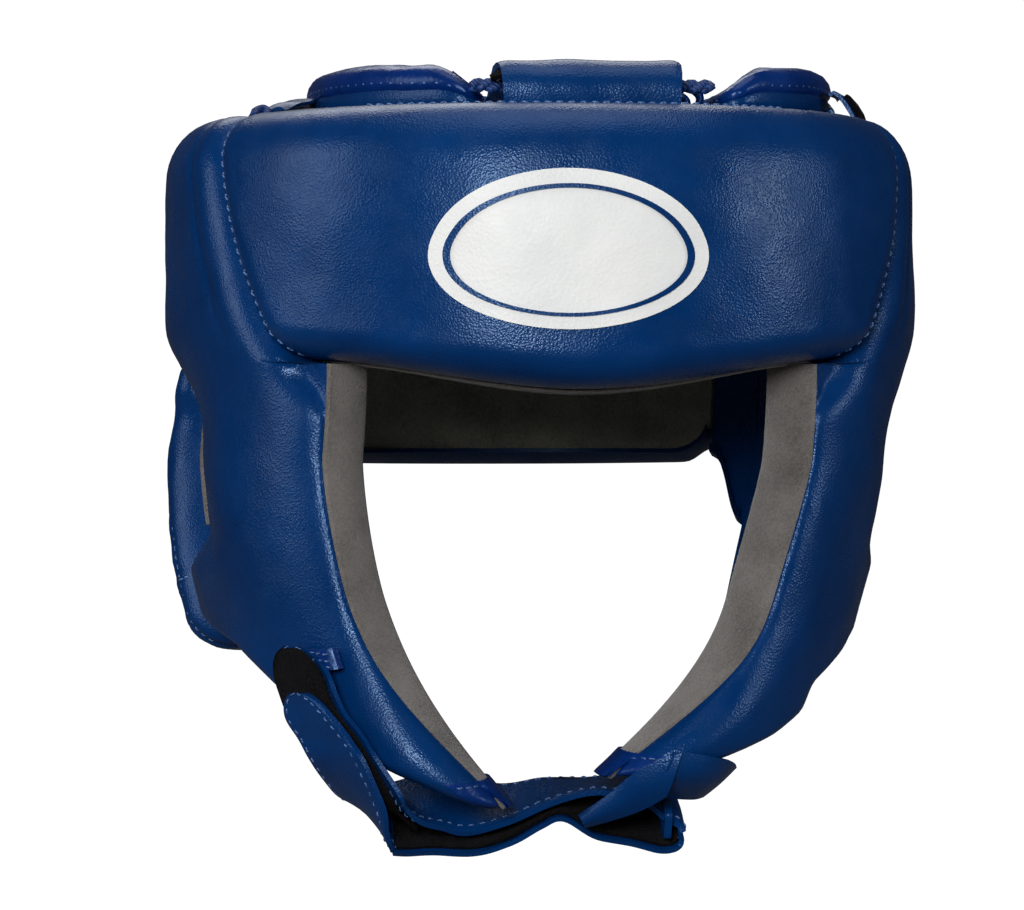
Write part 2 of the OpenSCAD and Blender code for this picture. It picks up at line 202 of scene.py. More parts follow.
def new_material(name):
    m = bpy.data.materials.new(name)
    m.use_nodes = True
    nodes = m.node_tree.nodes
    nodes.clear()
    out = nodes.new("ShaderNodeOutputMaterial")
    shader = nodes.new("ShaderNodeBsdfPrincipled")
    feed(out, Surface=shader.outputs[0])
    coords = nodes.new("ShaderNodeTexCoord")
    # shader sizes are in millimetres
    scale = feed(nodes.new("ShaderNodeMapping"), Vector=coords.outputs["Object"], Scale=(1000, 1000, 1000))
    return m, nodes, shader, scale.outputs[0]


def noise_node(nodes, mm, size, detail=3.0, roughness=0.55):
    return feed(nodes.new("ShaderNodeTexNoise"), Vector=mm, Scale=1 / size, Detail=detail,
                Roughness=roughness).outputs[0]


def ramp(nodes, value, stops):
    r = feed(nodes.new("ShaderNodeValToRGB"), Fac=value)
    while len(r.color_ramp.elements) < len(stops):
        r.color_ramp.elements.new(0.5)
    for e, (at, colour) in zip(r.color_ramp.elements, stops):
        e.position = at
        e.color = (*colour, 1)
    return r.outputs[0]


def bump(nodes, height, strength, distance, **under):
    """A bump, over the one given as Normal where there is one."""
    return feed(nodes.new("ShaderNodeBump"), Strength=strength, Distance=distance * MM, Height=height,
                **under).outputs[0]


def leather(name, dark, mid, light, rough, grain=0.9, tint=(0.45, 0.68, 1.0)):
    """Grained leather: fine cells, soft creases and slightly rubbed tone changes."""
    m, nodes, shader, mm = new_material(name)
    tone = ramp(nodes, noise_node(nodes, mm, 26, 4), [(0.3, dark), (0.52, mid), (0.75, light)])
    cells = nodes.new("ShaderNodeTexVoronoi")
    cells.feature = "SMOOTH_F1"
    feed(cells, Vector=mm, Scale=1 / grain, Smoothness=0.35)
    fine = bump(nodes, cells.outputs["Distance"], 0.6, 0.14)
    creases = bump(nodes, noise_node(nodes, mm, 2.6, 4, 0.6), 0.25, 0.1, Normal=fine)
    waves = bump(nodes, noise_node(nodes, mm, 20, 2), 0.25, 0.4, Normal=creases)
    patches = noise_node(nodes, mm, 9, 3)
    worn = ramp(nodes, patches, [(0.3, (rough - 0.07,) * 3), (0.7, (rough + 0.08,) * 3)])
    feed(shader, Base_Color=tone, Normal=waves, Roughness=worn, Specular_IOR_Level=0.32,
         Specular_Tint=(*tint, 1))
    return m


def napped(name, dark, light, fuzz, size=0.7, sheen=0.3, gloss=0.15):
    """Suede, pile or hook tape: speckled and fuzzy."""
    m, nodes, shader, mm = new_material(name)
    specks = noise_node(nodes, mm, size, 4, 0.75)
    broad = noise_node(nodes, mm, 14, 3)
    both = nodes.new("ShaderNodeMath")
    both.operation = "MULTIPLY_ADD"
    m.node_tree.links.new(broad, both.inputs[0])
    both.inputs[1].default_value = 0.7
    m.node_tree.links.new(specks, both.inputs[2])
    tone = ramp(nodes, both.outputs[0], [(0.55, dark), (1.05, light)])
    feed(shader, Base_Color=tone, Normal=bump(nodes, specks, 0.9, fuzz), Roughness=0.95,
         Specular_IOR_Level=gloss, Sheen_Weight=sheen, Sheen_Roughness=0.5)
    return m


def woven(name, dark, light, pitch):
    """Twisted or braided thread."""
    m, nodes, shader, mm = new_material(name)
    wave = nodes.new("ShaderNodeTexWave")
    wave.bands_direction = "DIAGONAL"
    feed(wave, Vector=mm, Scale=0.32 / pitch, Distortion=1.5, Detail=2)
    tone = ramp(nodes, wave.outputs["Color"], [(0.2, dark), (0.8, light)])
    feed(shader, Base_Color=tone, Normal=bump(nodes, wave.outputs["Fac"], 0.7, 0.35), Roughness=0.6)
    return m


BLUE = leather("leather_blue", (0.0003, 0.021, 0.098), (0.0004, 0.0255, 0.116), (0.0006, 0.03, 0.132),
               0.29, 0.6)
SHINY = leather("leather_binding", (0.0008, 0.014, 0.098), (0.001, 0.02, 0.13), (0.003, 0.03, 0.17),
                0.3, 1.3)
NAVY = leather("leather_edge", (0.001, 0.009, 0.045), (0.0012, 0.013, 0.06), (0.002, 0.018, 0.08), 0.45)
GREY = napped("suede_grey", (0.06, 0.053, 0.049), (0.17, 0.155, 0.145), 0.5)
DARK = napped("suede_dark", (0.08, 0.08, 0.062), (0.24, 0.235, 0.19), 0.5)
PILE = napped("hook_and_loop_black", (0.0005, 0.0005, 0.0006), (0.006, 0.005, 0.007), 1.4, 1.1, 0.02,
              gloss=0.02)
THREAD = woven("thread_light_blue", (0.02, 0.06, 0.18), (0.11, 0.21, 0.44), 0.7)
CORD = woven("cord_blue", (0.001, 0.014, 0.08), (0.008, 0.05, 0.22), 0.9)
WHITE = leather("badge_white", (0.68, 0.69, 0.69), (0.73, 0.74, 0.73), (0.77, 0.77, 0.76), 0.5, 1.0,
                tint=(1, 1, 1))


# ---- Mesh helpers ----
def finish_piece(name, bm, material, body, nodes=(), sharp=42):
    bmesh.ops.remove_doubles(bm, verts=bm.verts, dist=0.02)
    bmesh.ops.dissolve_degenerate(bm, edges=bm.edges, dist=0.005)
    bmesh.ops.recalc_face_normals(bm, faces=bm.faces)
    for v in bm.verts:
        v.co *= MM
    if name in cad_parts:
        name += "_visual"
    mesh = bpy.data.meshes.new(name)
    bm.to_mesh(mesh)
    bm.free()
    mesh.materials.append(material)
    for p in mesh.polygons:
        p.use_smooth = True
    mesh.set_sharp_from_angle(angle=math.radians(sharp))
    obj = bpy.data.objects.new(name, mesh)
    bpy.context.scene.collection.objects.link(obj)
    if body:
        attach(obj, body)
    if nodes:
        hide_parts(*nodes)
    return obj


def add_grid(bm, rows):
    verts = [[bm.verts.new(p) for p in row] for row in rows]
    for a, b in zip(verts, verts[1:]):
        for i in range(len(a) - 1):
            bm.faces.new((a[i], a[i + 1], b[i + 1], b[i]))


def add_solid(bm, outer, inner, walls=(True, True, True, True), wall_steps=3):
    """Two matching grids, joined by walls on the chosen edges: first row, last row, first and last
    point of each row."""
    add_grid(bm, outer)
    add_grid(bm, [list(reversed(row)) for row in inner])
    edges = [(outer[0], inner[0]), (outer[-1], inner[-1])]
    edges += [([r[k] for r in outer], [r[k] for r in inner]) for k in (0, -1)]
    for wanted, (a, b) in zip(walls, edges):
        if wanted:
            add_grid(bm, [[Vector(p).lerp(Vector(q), k / wall_steps) for p, q in zip(a, b)]
                          for k in range(wall_steps + 1)])


def grid_normals(rows, closed=False):
    nr, nc = len(rows), len(rows[0])
    normals = []
    for i in range(nr):
        line = []
        for j in range(nc):
            du = rows[min(i + 1, nr - 1)][j] - rows[max(i - 1, 0)][j]
            if closed:
                dv = rows[i][(j + 1) % (nc - 1)] - rows[i][(j - 1) % (nc - 1)]
            else:
                dv = rows[i][min(j + 1, nc - 1)] - rows[i][max(j - 1, 0)]
            line.append(du.cross(dv).normalized())
        normals.append(line)
    return normals


def sheet(name, rows, thick, material, body, nodes=(), flip=False, sharp=42):
    """Even sheet of leather or suede: rows is one face, the other lies thick away along its normals."""
    normals = grid_normals(rows)
    sign = -1 if flip else 1
    back = [[p + n * thick * sign for p, n in zip(r, m)] for r, m in zip(rows, normals)]
    bm = bmesh.new()
    add_solid(bm, rows, back, wall_steps=1)
    return finish_piece(name, bm, material, body, nodes, sharp)


def skin(bm, rings, closed=False):
    """Faces between rings of vertices, with a face over both ends unless they meet."""
    sides = len(rings[0])
    for a, b in list(zip(rings, rings[1:])) + ([(rings[-1], rings[0])] if closed else []):
        for k in range(sides):
            bm.faces.new((a[k], a[(k + 1) % sides], b[(k + 1) % sides], b[k]))
    if not closed:
        bm.faces.new(list(reversed(rings[0])))
        bm.faces.new(rings[-1])


def tube(bm, points, radius, sides=8, closed=False):
    n = len(points)
    frames = []
    side = None
    for i in range(n):
        a = points[(i - 1) % n] if closed else points[max(i - 1, 0)]
        b = points[(i + 1) % n] if closed else points[min(i + 1, n - 1)]
        d = (b - a).normalized()
        side = (side - d * side.dot(d)).normalized() if side else d.orthogonal().normalized()
        frames.append((side, d.cross(side)))
    skin(bm, [[bm.verts.new(p + radius * (s * cos(360 * k / sides) + t * sin(360 * k / sides)))
               for k in range(sides)] for p, (s, t) in zip(points, frames)], closed)


def resample(points, pitch):
    """Evenly spaced points and directions along a polyline."""
    out, left = [], pitch / 2
    for a, b in zip(points, points[1:]):
        d = b - a
        length = d.length
        at = left
        while at < length:
            out.append((a + d * (at / length), d.normalized()))
            at += pitch
        left = at - length
    return out


def add_stitches(bm, points, normal_at, pitch=3.4, long=2.2, wide=0.3):
    """Thread ends that dip into the leather, one rounded bead per stitch."""
    for p, along in resample(points, pitch):
        up = normal_at(p)
        across = along.cross(up).normalized()
        rings = []
        for t, grow, lift in ((-0.5, 0.35, -0.3), (-0.3, 0.95, 0.1), (0.0, 1.0, 0.28), (0.3, 0.95, 0.1),
                              (0.5, 0.35, -0.3)):
            centre = p + along * long * t + up * lift
            rings.append([bm.verts.new(centre + grow * wide * (across * cos(60 * k) + up * sin(60 * k)))
                          for k in range(6)])
        skin(bm, rings)


def stitch_piece(name, runs, body, **style):
    """runs is a list of (points, normal function)."""
    bm = bmesh.new()
    for points, normal_at in runs:
        add_stitches(bm, points, normal_at, **style)
    return finish_piece(name, bm, THREAD, body, sharp=180)


def form_run(side, path, depth):
    """Points just proud of a pad along [angle, z] places, with the pad's outward direction at each."""
    points = [place(side, a, z, depth(a, z)) for a, z in path]

    def normal_at(p):
        best = min(range(len(points)), key=lambda i: (points[i] - p).length_squared)
        return place_normal(side, *path[best])
    return points, normal_at


def pad_over(name, side, area, depth, base, nu, nv, material, nodes, wall_steps=3):
    """Pad over an area of the form: area(u, v) gives its places, depth its outer face."""
    outer, inner = [], []
    for v in ends_fine(nv):
        places = [area(u, v) for u in ends_fine(nu)]
        outer.append([place(side, a, z, depth(a, z, u, v)) for (a, z), u in zip(places, ends_fine(nu))])
        inner.append([place(side, a, z, base) for a, z in places])
    bm = bmesh.new()
    add_solid(bm, outer, inner, wall_steps=wall_steps)
    return finish_piece(name, bm, material, ROOT, nodes, 60)


# ---- Forehead pad ----
SEAM_GAP = 0.2


def seam_angle(z):
    return 41 + 19 * clamp((z - CORNER_Z) / (RIM_Z - CORNER_Z)) ** 0.8


def brow(s):
    return mix(BROW_Z, CORNER_Z, smooth(abs(s) * 1.05))


def forehead_depth(angle, z):
    s = clamp(angle / seam_angle(z), -1, 1)
    to_seam = (1 - abs(s)) * seam_angle(z) * ARC
    low, high = z - brow(s), RIM_Z - z
    p = place(LEFT, angle, z, 20)
    soft = wobble(p, 34, 0.9) + wobble(p, 13, 0.3, 7) + wobble(p, 6, 0.1, 3)
    tight = wobble((p.x, p.y * 2, p.z * 2), 5, 0.5, 11) * (1 - rise(min(to_seam, low + 3, high), 13))
    d = FOREHEAD_PAD - 0.4 + soft * rise(min(to_seam, low, high), 20) + tight
    d -= 7.5 * (1 - rise(to_seam, 9)) + 15 * (1 - rise(low, 10)) + 15.5 * (1 - rise(high, 15))
    return d


def forehead_place(u, v):
    s = 2 * u - 1
    z = mix(brow(s), RIM_Z, v)
    return s * (seam_angle(z) - SEAM_GAP), z


def forehead_pad():
    pad_over("forehead_pad", LEFT, forehead_place, lambda a, z, u, v: forehead_depth(a, z), FOAM_DEPTH,
             110, 56, BLUE, ("forehead_cover", "forehead_foam"), wall_steps=5)


def forehead_lining():
    rows = [[place(LEFT, forehead_place(u, v)[0], mix(brow(2 * u - 1) - 0.6, RIM_Z, v), 0)
             for u in steps(60)] for v in steps(30)]
    sheet("forehead_lining", rows, SUEDE, GREY, ROOT, ("forehead_lining",), flip=True)
    # suede lip that rolls under the brow edge
    lip = []
    for u in steps(90):
        s = 2 * u - 1
        z = brow(s)
        angle = s * (seam_angle(CORNER_Z) - 0.4)
        lip.append([place(LEFT, angle, z - drop, d) for d, drop in
                    ((0.2, 0.1), (1.2, 0.5), (3.2, 0.8), (5.4, 0.9), (7.6, 0.7), (9.2, 0.2))])
    sheet("forehead_lining_lip", lip, 0.7, GREY, ROOT)


BADGE_X, BADGE_Z = -4.5, 55.0


def badge():
    """Plain oval badge with a ring, where the front of the pad is flat."""
    def at(x, z, lift):
        angle = math.degrees(math.atan2(x, HEAD_FRONT + FOREHEAD_PAD)) * 1.18
        return place(LEFT, angle, z, forehead_depth(angle, z) + lift)

    def oval(rx, rz, lift, n_ring, inner_share):
        return [[at(BADGE_X + rx * k * cos(a), BADGE_Z + rz * k * sin(a), lift) for a in steps(96, 0, 360)]
                for k in steps(n_ring, inner_share, 1)]
    for name, rx, rz, lift, inner, material in (
            ("forehead_badge", 32, 20, 0.15, 0.0, WHITE),
            ("forehead_badge_ring", 28.5, 16.6, 0.6, 0.94, BLUE)):
        rows = oval(rx, rz, lift, 2 if inner else 12, inner)
        top = [[p + place_normal(LEFT, 0, 50) * 0.45 for p in row] for row in rows]
        bm = bmesh.new()
        add_solid(bm, top, rows, (bool(inner), True, False, False), 1)
        finish_piece(name, bm, material, ROOT, () if inner else ("forehead_print",))


# ---- Side panels ----
PANEL_SPLIT, BACK_ANGLE = 108.0, 137.5         # ear line and rear end of the side panel
REAR_EDGE = [(CHIN_Z, 24), (CHIN_Z + 3, 30), (CHIN_Z + 8, 37), (CHIN_Z + 15, 46), (CHIN_Z + 23, 54),
             (-62, 60), (-55, 66), (-47, 74), (-42, 88), (-36, PANEL_SPLIT), (SLOT_FOOT - 1, PANEL_SPLIT),
             (SLOT_FOOT + 2, 96), (SLOT_TOP, 107), (CORNER_Z - 1, 107.9)]


def face_angle(z):
    return 36 - 22 * clamp((-35 - z) / (-35 - CHIN_Z)) ** 2.2


def side_front(z):
    return face_angle(z) if z < STEP_Z else seam_angle(z) + 0.25


def side_z(side, z):
    return z if z > -42 else -42 + (z + 42) * (0.84 if side == LEFT else 1)


def face_depth(z):
    """Depth of the crisp edge where the cover meets the lining round the face."""
    return mix(11.5, 17.0, smooth((z - CHIN_Z) / 45))


def side_depth(side, angle, z):
    upper = smooth((z - 10) / 17)
    hollow = 8 * smooth((angle - 55) / 35) * smooth((z + 28) / 10) * smooth((36 - z) / 26)
    full = mix(CHEEK_PAD, TEMPLE_PAD, smooth(z / 45)) - 0.3 - hollow
    to_front = (angle - mix(face_angle(z), seam_angle(z) + 0.25, upper)) * SIDE_ARC
    fall = mix(full - face_depth(z), 7.5, upper) * (1 - rise(to_front, mix(15, 9, upper)))
    above = max(0, z - CORNER_Z + 1)
    to_low = above
    if angle < PANEL_SPLIT:
        to_low = math.hypot(max(0, (rear_edge(side, min(z, CORNER_Z - 1)) - angle) * SIDE_ARC), above)
    to_back = (BACK_ANGLE - angle) * SIDE_ARC
    width = mix(14, 30, smooth((z + 26) / 12) * smooth((45 - z) / 20))
    fall_low = (full - mix(8, 22, smooth((z - 8) / 16))) * (1 - rise(to_low, width))
    fall += max(fall_low, (full - 9) * (1 - rise(to_back, 16)))
    to_rear = min(to_low, to_back)
    fall += 13 * (1 - rise(RIM_Z - z, 16)) + 8 * (1 - rise(z - CHIN_Z, 16))
    p = place(side, angle, z, 20)
    calm = rise(min(to_front, to_rear, RIM_Z - z, z - CHIN_Z), 20)
    soft = (wobble(p, 36, 1.3, 2) + wobble(p, 14, 0.35, 5) + wobble(p, 6, 0.1, 9)) * calm
    creases = wobble((p.x * 2.2, p.y * 2.2, p.z * 0.6), 6, 0.5, 4) * (1 - rise(min(to_front, to_rear), 14))
    groove = math.exp(-((angle - seam_angle(z) - 9.5) / 1.1) ** 2) * smooth((z - 30) / 20)
    return max(3.0, full - fall + soft + creases - groove)


def side_levels():
    low = [CHIN_Z + d for d in (0, 0.6, 1.5, 3, 5, 7.5, 10)]
    return (low + steps(36, -81, SLOT_FOOT - 1) + steps(3, SLOT_FOOT, SLOT_FOOT + 2)
            + steps(11, -13, SLOT_TOP) + steps(10, 9.5, CORNER_Z - 1) + [CORNER_Z - 0.4]
            + steps(26, CORNER_Z + 1, RIM_Z - 8) + [RIM_Z - d for d in (6, 4.2, 2.8, 1.6, 0.8, 0.3, 0)])


def rear_edge(side, z):
    """Rear edge of the lower panel; the left cheek is a little fuller near its tip."""
    fuller = 7 * smooth((-60 - z) / 14) * smooth((z - CHIN_Z) / 5) if side == LEFT else 0
    return lookup(z, REAR_EDGE) + fuller


def side_rear(side, z):
    return rear_edge(side, z) if z < STEP_Z else PANEL_SPLIT


def side_columns(side, z):
    """Angles across the panel; only the first few follow the step of the front edge at the brow corner."""
    even_front = mix(face_angle(z), seam_angle(z) + 0.25, smooth((z - 12) / 30))
    return [mix(even_front, side_rear(side, z), t) + (side_front(z) - even_front) * (1 - smooth(t * 7))
            for t in ends_fine(60)]


def side_panel(side, word):
    zs = side_levels()
    bm = bmesh.new()

    def rows(depth):
        return [[place(side, a, side_z(side, z), depth(a, z)) for a in side_columns(side, z)] for z in zs]
    main = rows(lambda a, z: side_depth(side, a, z))
    base = rows(lambda a, z: FOAM_DEPTH)
    add_solid(bm, main, base, (True, True, True, False), 4)
    # the rear edge has a wall only below the corner; above it the panel runs on to the back
    edges = [[row[-1] for row, z in zip(face, zs) if z < STEP_Z] for face in (main, base)]
    add_grid(bm, [[p.lerp(q, k / 4) for p, q in zip(*edges)] for k in range(5)])
    upper = [z for z in zs if z > STEP_Z]

    def back_rows(depth):
        return [[place(side, a, z, depth(a, z)) for a in ends_fine(26, PANEL_SPLIT, BACK_ANGLE)]
                for z in upper]
    add_solid(bm, back_rows(lambda a, z: side_depth(side, a, z)), back_rows(lambda a, z: FOAM_DEPTH),
              (True, True, False, True), 4)
    finish_piece("side_panel_" + word, bm, BLUE, ROOT,
                 ("side_cover_" + word, "temple_foam_" + word, "cheek_foam_" + word), 60)


def side_lining(side, word):
    """Suede inside the pad and over its front edge, up to the cover."""
    rows = []
    for z in side_levels():
        if z < STEP_Z:
            front, top = side_front(z), face_depth(z)
            wall = [(front - 0.1, top + 0.2), (front - 0.55, top - 0.4)]
            wall += [(front - 0.6 - 0.7 * math.sin(math.pi * k), mix(top - 1.2, 1.5, k)) for k in steps(7)]
            wall += [(front - 0.2, 0.4)]
        else:
            front = side_front(z)
            wall = [(front, 0.9 - 0.1 * k) for k in range(9)] + [(front, 0.05), (front, 0.0)]
        inside = [(mix(front, side_rear(side, z), t), 0.0) for t in ends_fine(34)][1:]
        rows.append([place(side, a, side_z(side, z), d) for a, d in wall + inside])
    lower = [r for r, z in zip(rows, side_levels()) if z < STEP_Z]
    sheet("cheek_lining_" + word, lower, SUEDE * 0.9, GREY, ROOT, ("side_lining_" + word,),
          flip=side == LEFT)
    inner = [[place(side, a, z, 0) for a in steps(60, seam_angle(z) + 0.3, BACK_ANGLE)]
             for z in steps(30, CORNER_Z - 0.4, RIM_Z)]
    sheet("temple_lining_" + word, inner, SUEDE, GREY, ROOT, flip=side == RIGHT)


def cheek_tip(side, word):
    """Shiny binding folded round the lower tip, from the outside over the edge to the lining."""
    rows = []
    for z in [CHIN_Z + 7.4 - k for k in steps(12, 0, 7.6)]:
        front = face_angle(z)
        back = min(front + 6.2, rear_edge(side, max(z, CHIN_Z)) + 0.4)
        top = face_depth(z)
        path = [(back - (back - front) * t, side_depth(side, back - (back - front) * t, z) + 1.0)
                for t in steps(10, 0, 0.96)]
        path += [(front - 0.5, top + 0.9), (front - 1.4, top - 1.0), (front - 1.9, top * 0.5)]
        path += [(front - 1.6, 1.0), (front - 0.6, -1.1), (front + 3, -1.5), (front + 8, -1.5)]
        rows.append([place(side, a, side_z(side, z), d + wobble((a * 3, z * 3, d), 6, 0.35))
                     for a, d in path])
    sheet("cheek_tip_binding_" + word, rows, 0.8, SHINY, ROOT, ("cheek_binding_" + word,),
          flip=side == RIGHT)
    hem = CHIN_Z + 6.2
    front = face_angle(hem)
    run = form_run(side, [(a, side_z(side, hem)) for a in steps(8, front + 0.5, front + 5.6)],
                   lambda a, z: side_depth(side, a, hem) + 1.3)
    stitch_piece("cheek_tip_stitches_" + word, [run], ROOT, pitch=2.6, long=1.9, wide=0.3)


# ---- Ear guards, bands, wings and rear pad ----
def edge_fall(u, v, width_u, width_v, amounts, mm_u, mm_v):
    """How much a pad drops towards its four edges."""
    return (amounts[0] * (1 - rise(u * mm_u, width_u)) + amounts[1] * (1 - rise((1 - u) * mm_u, width_u))
            + amounts[2] * (1 - rise(v * mm_v, width_v)) + amounts[3] * (1 - rise((1 - v) * mm_v, width_v)))


def guard_depth(side, a, z, u, v):
    p = place(side, a, z, 10)
    seam = 3.0 * math.exp(-((a - 112.5) / 1.0) ** 2) * smooth((-8 - z) / 6)
    fall = edge_fall(u, v, 8, 14, (15 - 9 * smooth((z - 10) / 10), 15, 19, 2), 24, 74)
    return max(3, EAR_PAD + 2 * smooth(1.6 - 2.4 * v) - 3 * smooth(2 * v - 0.7) - seam - fall
               + wobble(p, 9, 0.8, 6) + wobble((p.x * 2, p.y * 2, p.z * 0.5), 5, 0.4, 8))


def ear_guard(side, word):
    def area(u, v):
        return mix(GUARD_FRONT, GUARD_BACK, u), mix(GUARD_FOOT, CORNER_Z - 1.6, v)

    def depth(a, z, u, v):
        return guard_depth(side, a, z, u, v)

    def on_guard(a, z):
        u = (a - GUARD_FRONT) / (GUARD_BACK - GUARD_FRONT)
        return depth(a, z, u, (z - GUARD_FOOT) / (CORNER_Z - 1.6 - GUARD_FOOT)) + 0.2
    pad_over("ear_guard_" + word, side, area, depth, 0.4, 34, 60, BLUE,
             ("ear_guard_cover_" + word, "ear_guard_foam_" + word))
    pad_over("ear_guard_band_" + word, side,
             lambda u, v: (mix(GUARD_FRONT, GUARD_BACK, u), mix(-55, GUARD_FOOT - 0.4, v)),
             lambda a, z, u, v: 11 - edge_fall(u, v, 3, 2, (3, 3, 2, 2), 22, 6), 0.4, 16, 8, SHINY,
             ("ear_guard_band_" + word,))
    runs = [form_run(side, [(a, z) for a in steps(12, 109.5, 123.2)], lambda a, z: 10.9)
            for z in (-53.6, -50.8)]
    runs.append(form_run(side, [(113.1, z) for z in steps(24, -44, -14)], on_guard))
    runs.append(form_run(side, [(a, -27) for a in steps(8, 108.9, 112)], on_guard))
    stitch_piece("ear_guard_stitches_" + word, runs, ROOT, pitch=3.0, long=2.2, wide=0.32)
    # suede that lines the rear wall of the ear slot
    rows = [[place(side, 108.35 - 0.5 * math.sin(math.pi * d / 20), z, 0.5 + d) for d in steps(16, 0, 15.5)]
            for z in steps(24, SLOT_FOOT + 0.8, SLOT_TOP - 0.3)]
    sheet("ear_slot_lining_" + word, rows, 0.7, GREY, ROOT, flip=side == RIGHT)


def rear_wing(side, word):
    def foot(u):
        return mix(-20, 0, smooth(u))
    pad_over("rear_wing_" + word, side,
             lambda u, v: (mix(124.6, BACK_ANGLE, u), mix(foot(u), CORNER_Z - 1.6, v)),
             lambda a, z, u, v: 8.5 - edge_fall(u, v, 3, 3, (2.5, 2.5, 3, 2), 20, 40)
             + wobble(place(side, a, z, 0), 8, 0.7), 0.5, 16, 24, BLUE, ("rear_wing_" + word,))
    rows = []
    for u in steps(20):
        a, z = mix(124.8, 137.3, u), foot(u)
        rows.append([place(side, a, z + up, d) for d, up in
                     ((-0.9, 3), (-1.0, 0.5), (0.5, -0.9), (4, -1.3), (8, -0.9), (9.2, 0.6), (9.3, 3))])
    sheet("rear_wing_edge_" + word, rows, 0.7, NAVY, ROOT, flip=side == LEFT)


def rear_depth(a, z):
    u, v = (a - REAR_START) / (REAR_END - REAR_START), z / RIM_Z
    p = place(LEFT, a, z, 10)
    return (REAR_PAD - 0.3 - edge_fall(u, v, 10, 11, (10, 10, 12, 10), 128, RIM_Z)
            + wobble(p, 30, 0.9, 1) + wobble(p, 9, 0.25, 3))


def rear():
    def foot(a):
        return 10 * (1 - rise(min(a - REAR_START, REAR_END - a) * ARC, 14))

    def area(u, v):
        a = mix(REAR_START, REAR_END, u)
        return a, mix(foot(a), RIM_Z, v)
    pad_over("rear_pad", LEFT, area, lambda a, z, u, v: rear_depth(a, z), FOAM_DEPTH, 70, 44, BLUE,
             ("rear_cover", "rear_foam"))
    rows = [[place(LEFT, a, mix(foot(a) + 0.3, RIM_Z, v), 0)
             for a in ends_fine(60, REAR_START + 0.2, REAR_END - 0.2)] for v in steps(30)]
    sheet("rear_lining", rows, SUEDE, DARK, ROOT, ("rear_lining",), flip=True)
    edge = [[place(LEFT, a, foot(a) + up, d) for d, up in
             ((-0.7, 0.9), (-0.9, 0.1), (0.4, -0.5), (3, -0.8), (6, -0.7), (8.4, 0.2))]
            for a in ends_fine(80, REAR_START + 0.3, REAR_END - 0.3)]
    sheet("rear_pad_edge", edge, 0.7, NAVY, ROOT)


def rear_strap():
    def depth(a):
        return mix(REAR_PAD + 1.5, TEMPLE_PAD + 1.6, smooth((abs(a - 180) - 22) / 30))

    def area(u, v):
        a = mix(127, 234, u)
        round_end = 6 * (1 - rise((1 - u) * 160, 10))
        return a, mix(22 + round_end, 62 - round_end, v)
    bm = bmesh.new()
    outer, inner = [], []
    for v in ends_fine(18):
        row = [area(u, v) for u in ends_fine(90)]
        crown = 0.5 * rise(min(v, 1 - v) * 40, 5)
        outer.append([place(LEFT, a, z, depth(a) + 1.7 + crown + wobble(place(LEFT, a, z, 0), 12, 0.2))
                      for a, z in row])
        inner.append([place(LEFT, a, z, depth(a)) for a, z in row])
    add_solid(bm, outer, inner, wall_steps=2)
    finish_piece("rear_strap", bm, BLUE, "rear_closure", ("rear_strap",), 50)
    runs = [form_run(LEFT, [(a, z) for a in steps(60, 128, 230)], lambda a, z: depth(a) + 2.3)
            for z in (25, 59)]
    runs.append(form_run(LEFT, [(231, z) for z in steps(20, 27, 57)], lambda a, z: depth(a) + 2.3))
    stitch_piece("rear_strap_stitches", runs, "rear_closure")
    rows = [[place(LEFT, a, z, depth(a) - 0.15) for a in steps(10, 225.5, 233)] for z in steps(12, 26, 58)]
    sheet("rear_strap_hook", rows, 0.7, PILE, "rear_closure", ("rear_strap_hook",))
    rows = [[place(RIGHT, a, z, side_depth(RIGHT, a, z) + 0.2) for a in steps(16, 119, 134)]
            for z in steps(14, 28, 60)]
    sheet("rear_loop_patch", rows, 0.8, PILE, ROOT, ("rear_loop_patch",), flip=True)


# ---- Crown ----
CROWN_INNER = 35.0
CROWN_X = LACE_X + 5.0


def crown_outline(side, out):
    """Rounded D outline of a crown pad: a closed list of evenly spaced 2-D points."""
    raw = [Vector((p.x, p.y, 0)) for p in (place(LEFT, a, RIM_Z, -5.5) for a in steps(60, 24, 152))]
    raw += [Vector((CROWN_INNER, raw[-1].y, 0)), Vector((CROWN_INNER, raw[0].y, 0)), raw[0]]
    even = [p for p, _ in resample(raw, 2.2)]
    n = len(even)
    for _ in range(8):
        even = [(even[i - 1] + even[i] * 2 + even[(i + 1) % n]) / 4 for i in range(n)]
    pushed = []
    for i, p in enumerate(even):
        d = (even[(i + 1) % n] - even[i - 1]).normalized()
        pushed.append(p + Vector((d.y, -d.x, 0)) * out)
    return [Vector((side * p.x + CROWN_X, p.y, 0)) for p in pushed]


def slope(p):
    """The pads are low along the lace and a little lower at the far ends."""
    off = abs(p.x - CROWN_X)
    lead = (p.y + 80) * (0.12 if p.x > CROWN_X else 0.03)
    return mix(0.4, 1, smooth((off - CROWN_INNER + 3 - lead) / 14)) * (1 + 0.1 * smooth((off - 48) / 16))


def crown_point(p, z):
    """Point of a crown piece at height z over the foot of the pads."""
    return Vector((p.x, p.y, CROWN_Z + z * slope(p)))


def ring_sheet(name, side, section, thick, material, body, nodes, wave):
    """Sheet that runs round a crown pad; section is a list of (out, height over the foot)."""
    loops = [[crown_point(p, z) + Vector((0, 0, wobble(p, 8, wave, z)))
              for p in crown_outline(side, out)] for out, z in section]
    rows = [loop + [loop[0]] for loop in loops]
    normals = grid_normals(rows, closed=True)
    back = [[p - n * thick * side for p, n in zip(r, m)] for r, m in zip(rows, normals)]
    bm = bmesh.new()
    add_solid(bm, rows, back, (True, True, False, False), 1)
    return finish_piece(name, bm, material, body, nodes)


